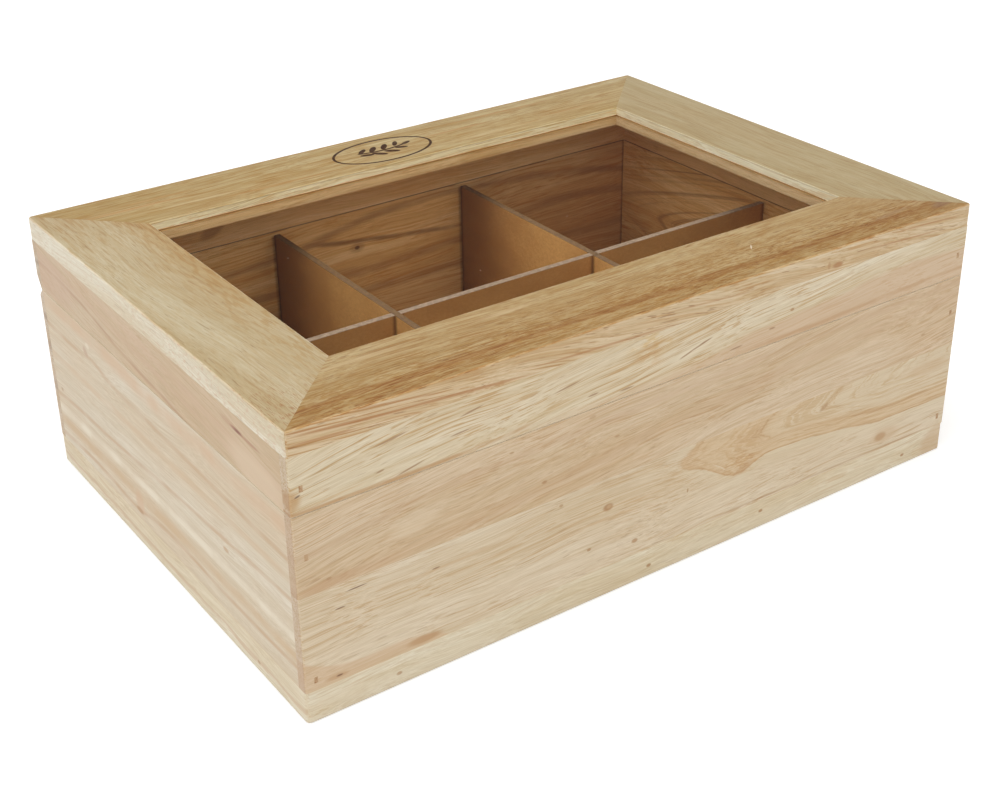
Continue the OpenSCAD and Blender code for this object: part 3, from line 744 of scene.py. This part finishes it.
def back_apron_figure(f):
    f.spot((-84, INNER[1], 96), (9, 6, 4), tone(140, 88, 48), 0.45, (0, -30, 0))
    f.line(((-165, 100), (-90, 98), (-70, 101), (0, 99), (165, 101)), 1.4, tone(150, 104, 62), strength=0.5,
           seed=2.0, rag=3.0)
    ends(f)
    outside(f, 1, (0.67, 0.85, 1.25))
    rim(f)


def right_board_figure(f):
    """Tall arcs where the saw passed near the middle of the trunk."""
    reach = f.product(f.maths("POWER", f.absolute(f.less(f.up, 52.0)), 1.4), 0.42)
    ring = f.total(f.product(f.along, 0.5), reach)
    arcs = f.noise(f.join(f.product(ring, 0.22), f.product(f.up, 0.01), 0.0), 3.0, 0.6)
    share = f.product(f.ease(arcs, 0.46, 0.66), f.only(1, 0, 100, 30))
    f.cover(f.product(share, 0.6), tone(150, 102, 64))
    outside(f, 0)
    rim(f)


def right_apron_figure(f):
    outside(f, 0)
    rim(f)


# middle tones: the walls' and aprons' outer faces are paler and bluer than the rails' tops, partly the wood
# and partly a painted sheen
woods = {
    "base_board": rubberwood(
        "base slab rubberwood", "x", tone(215, 201, 171), 3.1, base_figure,
        wide=13, bands=0.4, lines=0.4, pores=0.2, blush=0.2, turned_sides=True),
    "front_lower_plank": rubberwood(
        "lower front plank rubberwood", "x", tone(208, 189, 157), 7.7, lower_plank_figure,
        wide=16, bands=0.4, streaks=0.3, lines=0.5, pores=0.3, blush=0.15),
    "front_upper_plank": rubberwood(
        "upper front plank rubberwood", "x", tone(203, 179, 144), 1.9, upper_plank_figure,
        wide=18, bands=0.35, streaks=0.4, lines=0.5, pores=0.25, blush=0.3, tilt=(-5.0, 0.0)),
    "back_board": rubberwood(
        "back wall rubberwood", "x", tone(247, 205, 142), 5.3, back_board_figure,
        wide=9, bands=0.9, streaks=0.8, lines=0.8, pores=0.3),
    "left_board": rubberwood(
        "left wall rubberwood", "y", tone(208, 193, 166), 11.2, left_board_figure,
        wide=20, bands=0.4, streaks=0.25, lines=0.2, pores=0.08, blush=0.45, tilt=(2.0, 0.0)),
    "right_board": rubberwood(
        "right wall rubberwood", "y", tone(247, 202, 138), 4.4, right_board_figure,
        wide=9, bands=0.8, streaks=0.7, lines=0.8, pores=0.3),
    "lid_front_apron": rubberwood(
        "front apron rubberwood", "x", tone(211, 194, 161), 9.4, front_apron_figure,
        wide=9, bands=0.4, streaks=0.35, lines=0.8, pores=0.3, blush=0.15, tilt=(-6.0, 0.0)),
    "lid_back_apron": rubberwood(
        "back apron rubberwood", "x", tone(248, 205, 146), 6.1, back_apron_figure,
        wide=9, bands=0.7, streaks=0.5, lines=0.5, pores=0.3),
    "lid_left_apron": rubberwood(
        "left apron rubberwood", "y", tone(198, 175, 141), 2.6, left_apron_figure,
        wide=16, bands=0.5, streaks=0.3, lines=0.3, pores=0.1, blush=0.4, tilt=(-6.0, 0.0)),
    "lid_right_apron": rubberwood(
        "right apron rubberwood", "y", tone(242, 198, 138), 8.3, right_apron_figure,
        wide=10, bands=0.6, streaks=0.5, lines=0.5, pores=0.3),
    "frame_front_rail": rubberwood(
        "front rail rubberwood", "x", tone(177, 152, 107), 12.6, front_rail_figure,
        wide=8, bands=0.6, streaks=0.75, lines=0.9, pores=0.6, blush=0.3, tilt=(4.0, 1.0)),
    "frame_back_rail": rubberwood(
        "back rail rubberwood", "x", tone(179, 158, 114), 15.2, back_rail_figure,
        wide=6, bands=0.75, streaks=0.75, lines=0.7, pores=0.35, blush=0.35, gloss=0.12),
    "frame_left_rail": rubberwood(
        "left rail rubberwood", "y", tone(186, 169, 133), 18.1, left_rail_figure,
        wide=14, bands=0.55, streaks=0.18, lines=0.3, pores=0.35, blush=0.2, tilt=(0.0, 2.5)),
    "frame_right_rail": rubberwood(
        "right rail rubberwood", "y", tone(173, 154, 114), 21.4, right_rail_figure,
        wide=12, bands=0.35, streaks=0.4, lines=0.4, pores=0.3, blush=0.3),
}


# ---- Boards ----

def free_edge(edge):
    """True at the inner rim, round the window and along a divider's top. Other edges are joints or round."""
    spots = [v.co / MM for v in edge.verts]

    def within(reach, play):
        return all(abs(p.x) < reach[0] + play and abs(p.y) < reach[1] + play for p in spots)

    rim = within(INNER, 1) and all(abs(p.z - RIM) < 0.01 for p in spots)
    opening = within(OPENING, 0.5) and all(p.z > TOP - 0.1 for p in spots)
    divider = all(abs(p.z - DIVIDER_TOP) < 0.05 for p in spots)
    return rim or opening or divider


def eased(node, body, material, width=0.3):
    """The node's own shape with its free edges broken by a light sanding."""
    b = bmesh.new()
    b.from_mesh(nodes[node].data)
    bmesh.ops.remove_doubles(b, verts=b.verts, dist=1e-6)
    bmesh.ops.dissolve_limit(b, angle_limit=math.radians(0.5), verts=b.verts, edges=b.edges)
    long = [e for e in b.edges if len(e.link_faces) == 2 and e.calc_length() > SHORTEST_EDGE]
    sharp = [e for e in long if e.calc_face_angle(0) > math.radians(25) and free_edge(e)]
    bmesh.ops.bevel(b, geom=sharp, offset=width * MM, segments=2, profile=0.5, affect="EDGES", material=-1,
                    clamp_overlap=True)
    mesh = bpy.data.meshes.new(node + ".eased")
    b.to_mesh(mesh)
    b.free()
    if "custom_normal" in mesh.attributes:
        mesh.attributes.remove(mesh.attributes["custom_normal"])
    mesh.shade_smooth()
    mesh.set_sharp_from_angle(angle=math.radians(20))
    board = bpy.data.objects.new(node + ".eased", mesh)
    scene.collection.objects.link(board)
    mesh.materials.append(material)
    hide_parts(node)
    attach(board, body)


bodies = {n: body for body, names in frame["record"]["behaviour"]["bodies"].items() for n in names}

for node, wood in woods.items():
    eased(node, bodies[node], wood)


# ---- Divider boards ----

def divider_board(name, seed, sawn, axis, crossing):
    """Thin pressed board: smooth brown faces and paler sawn edges."""
    material, r, surface = new_material(name)
    place = millimetres(r)
    fine = r.noise(r.arrow("ADD", r.stretch(place, (0.6, 0.6, 0.9)), (seed, 0, 0)), 4.0, 0.7)
    broad = r.noise(r.arrow("ADD", r.stretch(place, (0.03, 0.03, 0.05)), (seed, 2, 0)), 3.0)
    colour = r.blend(r.ease(fine, 0.3, 0.7), tone(193, 138, 76), tone(207, 155, 92))
    colour = r.blend(r.ease(broad, 0.35, 0.65, 0.0, 0.5), colour, tone(178, 124, 66))
    # painted shade in the corners, where the boards cross and meet the walls
    spots = r.parts(place)
    along = r.absolute(spots[axis])
    corner = r.ease(r.absolute(r.less(along, crossing)), 1.7, 3.4, 0.75, 0.0)
    corner = r.most(corner, r.ease(along, INNER[axis] - 2.9, INNER[axis] - 0.4, 0.0, 0.7))
    colour = r.tint(colour, corner, (0.35, 0.3, 0.28))
    if axis == 1:
        # painted shade near the walls and the floor, and painted light towards the middle
        colour = r.tint(colour, r.ease(along, 20.0, 95.0, 0.9, 0.0), (1.45, 1.6, 1.7))
        colour = r.tint(colour, r.ease(along, 50.0, 104.0, 0.0, 0.9), (0.55, 0.48, 0.48))
        colour = r.tint(colour, r.ease(spots[2], 25.0, 85.0, 0.9, 0.0), (0.62, 0.56, 0.56))
    top = r.ease(spots[2], DIVIDER_TOP - 0.35, DIVIDER_TOP - 0.05)
    dark, light = tinted(sawn, (0.72, 0.69, 0.66)), tinted(sawn, (1.16, 1.18, 1.2))
    colour = r.blend(top, colour, r.blend(r.ease(fine, 0.3, 0.7), dark, light))
    r.feed(surface.inputs["Base Color"], colour)
    r.feed(surface.inputs["Roughness"], r.ease(fine, 0.2, 0.8, 0.55, 0.75))
    bump = r.node("ShaderNodeBump", {"Height": fine, "Strength": 0.25, "Distance": 0.00005})
    r.feed(surface.inputs["Normal"], bump.outputs[0])
    return material


for node, seed, sawn, axis, crossing in (
        ("long_divider", 0.0, tone(172, 146, 122), 0, CROSSING),
        ("left_divider", 11.0, tone(128, 96, 62), 1, 0.0),
        ("right_divider", 23.0, tone(134, 102, 68), 1, 0.0)):
    pressed = divider_board(node.replace("_", " ") + " board", seed, sawn, axis, crossing)
    eased(node, bodies[node], pressed, 0.2)


# ---- Window ----

def clear_panel():
    """Clear acrylic with a few specks of dust. It lets lamps through without a dark shadow."""
    material, r, surface = new_material("clear acrylic")
    place = millimetres(r)
    surface.inputs["Base Color"].default_value = (0.99, 1.0, 0.99, 1)
    surface.inputs["Roughness"].default_value = 0.0
    surface.inputs["IOR"].default_value = 1.2
    surface.inputs["Transmission Weight"].default_value = 1.0
    path = r.node("ShaderNodeLightPath").outputs
    through = r.most(path["Is Shadow Ray"], path["Is Diffuse Ray"])
    clear = r.node("ShaderNodeBsdfTransparent", {"Color": (0.99, 0.995, 0.99)})
    panel = r.node("ShaderNodeMixShader", {0: through, 1: surface.outputs[0], 2: clear.outputs[0]})
    cells = r.node("ShaderNodeTexVoronoi", {"Vector": place, "Scale": 0.11, "Randomness": 1.0})
    pick = r.parts(cells.outputs["Color"])
    speck = r.maths("LESS_THAN", cells.outputs["Distance"], r.product(r.less(pick[0], 0.45), 0.05))
    speck = r.product(speck, 0.55)
    dust = r.node("ShaderNodeBsdfDiffuse", {"Color": tone(220, 214, 204)})
    dusty = r.node("ShaderNodeMixShader", {0: speck, 1: panel.outputs[0], 2: dust.outputs[0]})
    show(material, r, dusty)
    return material


# ---- Metal ----

def metal(name, bright, dull, rough, metallic=1.0):
    """Worn small hardware: fine scratches, and duller patches where it has tarnished."""
    material, r, surface = new_material(name)
    place = millimetres(r)
    patch = r.noise(r.stretch(place, (0.7, 0.7, 0.7)), 4.0, 0.6)
    scratch = r.noise(r.stretch(place, (0.5, 9.0, 9.0)), 3.0, 0.6)
    colour = r.blend(r.ease(patch, 0.42, 0.66), bright, dull)
    r.feed(surface.inputs["Base Color"], colour)
    surface.inputs["Metallic"].default_value = metallic
    r.feed(surface.inputs["Roughness"], r.ease(patch, 0.3, 0.7, rough - 0.08, rough + 0.16))
    bump = r.node("ShaderNodeBump", {"Height": scratch, "Strength": 0.3, "Distance": 0.00002})
    r.feed(surface.inputs["Normal"], bump.outputs[0])
    return material


def dress(node, material):
    mesh = nodes[node].data
    mesh.materials.clear()
    mesh.materials.append(material)


brass = metal("satin brass", tone(206, 172, 100), tone(168, 130, 70), 0.32)
steel = metal("brad steel", tone(176, 174, 170), tone(132, 126, 118), 0.4)
stained = metal("stained brad filler", tone(190, 156, 118), tone(160, 118, 78), 0.6, 0.0)
dress("window_panel", clear_panel())
for node in nodes:
    if "hinge" in node:
        dress(node, brass)
dress("base_brads", steel)
dress("box_corner_brads", stained)
dress("lid_corner_brads", stained)


# ---- Studio ----

def pale_floor():
    """A pale floor that keeps the box's soft shadow and shows as white to the camera and in gloss."""
    material, r, surface = new_material("studio floor")
    grain = r.noise(r.stretch(millimetres(r), (0.02, 0.02, 0.02)), 3.0)
    r.feed(surface.inputs["Base Color"], r.blend(grain, (0.78, 0.78, 0.78), (0.8, 0.8, 0.8)))
    surface.inputs["Roughness"].default_value = 0.9
    surface.inputs["Specular IOR Level"].default_value = 0.0
    path = r.node("ShaderNodeLightPath").outputs
    seen = r.most(path["Is Camera Ray"], path["Is Glossy Ray"], path["Is Transmission Ray"])
    glow = r.node("ShaderNodeEmission", {"Color": (1, 1, 1), "Strength": r.product(seen, 0.35)})
    both = r.node("ShaderNodeAddShader", {0: surface.outputs[0], 1: glow.outputs[0]})
    show(material, r, both)
    return material


def lay_floor():
    b = bmesh.new()
    bmesh.ops.create_grid(b, x_segments=1, y_segments=1, size=8)
    bmesh.ops.translate(b, verts=b.verts, vec=(0, 0, -0.0002))
    mesh = bpy.data.meshes.new("floor")
    b.to_mesh(mesh)
    b.free()
    mesh.materials.append(pale_floor())
    floor = bpy.data.objects.new("floor", mesh)
    scene.collection.objects.link(floor)


def light_studio():
    """Even white light, dim behind the box but for its top and a low band there that lights the back."""
    world = bpy.data.worlds.new("studio")
    world.use_nodes = True
    scene.world = world
    sky = Recipe(world.node_tree)
    way = sky.parts(sky.node("ShaderNodeTexCoord").outputs["Generated"])
    back = sky.ease(sky.total(sky.product(way[0], 0.57), sky.product(way[1], 0.82)), -0.2, 0.4)
    low = sky.less(1.0, sky.ease(way[2], 0.55, 0.92))
    level = sky.less(sky.ease(way[2], 0.4, 0.85, 0.83, 1.17), sky.product(back, low, 0.76))
    level = sky.total(level, sky.product(back, sky.ease(way[2], 0.04, 0.2, 2.4, 0.0)))
    # the background shows as white, also in metal and glass, but for the part that would glare in the window
    path = sky.node("ShaderNodeLightPath").outputs
    shiny = sky.product(sky.most(path["Is Glossy Ray"], path["Is Transmission Ray"]), sky.less(1.0, back))
    seen = sky.most(path["Is Camera Ray"], shiny)
    background = world.node_tree.nodes["Background"]
    sky.feed(background.inputs["Strength"], sky.total(sky.product(level, sky.less(1.0, seen)), seen))
    background.inputs["Color"].default_value = (1, 1, 1, 1)


def soft_lamp(name, at, aim, width, power):
    data = bpy.data.lights.new(name, "AREA")
    data.shape = "SQUARE"
    data.size = width
    data.energy = power
    lamp = bpy.data.objects.new(name, data)
    lamp.location = at
    lamp.rotation_euler = (Vector(aim) - Vector(at)).to_track_quat("-Z", "Y").to_euler()
    scene.collection.objects.link(lamp)


def set_camera(at, turn, lens, shift):
    """turn is in degrees, and shift in widths of the picture."""
    data = bpy.data.cameras.new("camera")
    data.lens = lens
    data.sensor_width = 36
    data.shift_x, data.shift_y = shift
    camera = bpy.data.objects.new("camera", data)
    camera.location = at
    camera.rotation_euler = [math.radians(a) for a in turn]
    scene.collection.objects.link(camera)
    scene.camera = camera


lay_floor()
light_studio()
soft_lamp("overhead softbox", at=(-0.5, -0.2, 1.6), aim=(0, 0, 0.1), width=1.2, power=9.0)
set_camera(at=(-0.36264, -0.52223, 0.37618), turn=(62.602, 1.0159, -34.5115), lens=57.642,
           shift=(0.02, -0.037))
scene.view_settings.view_transform = "Standard"
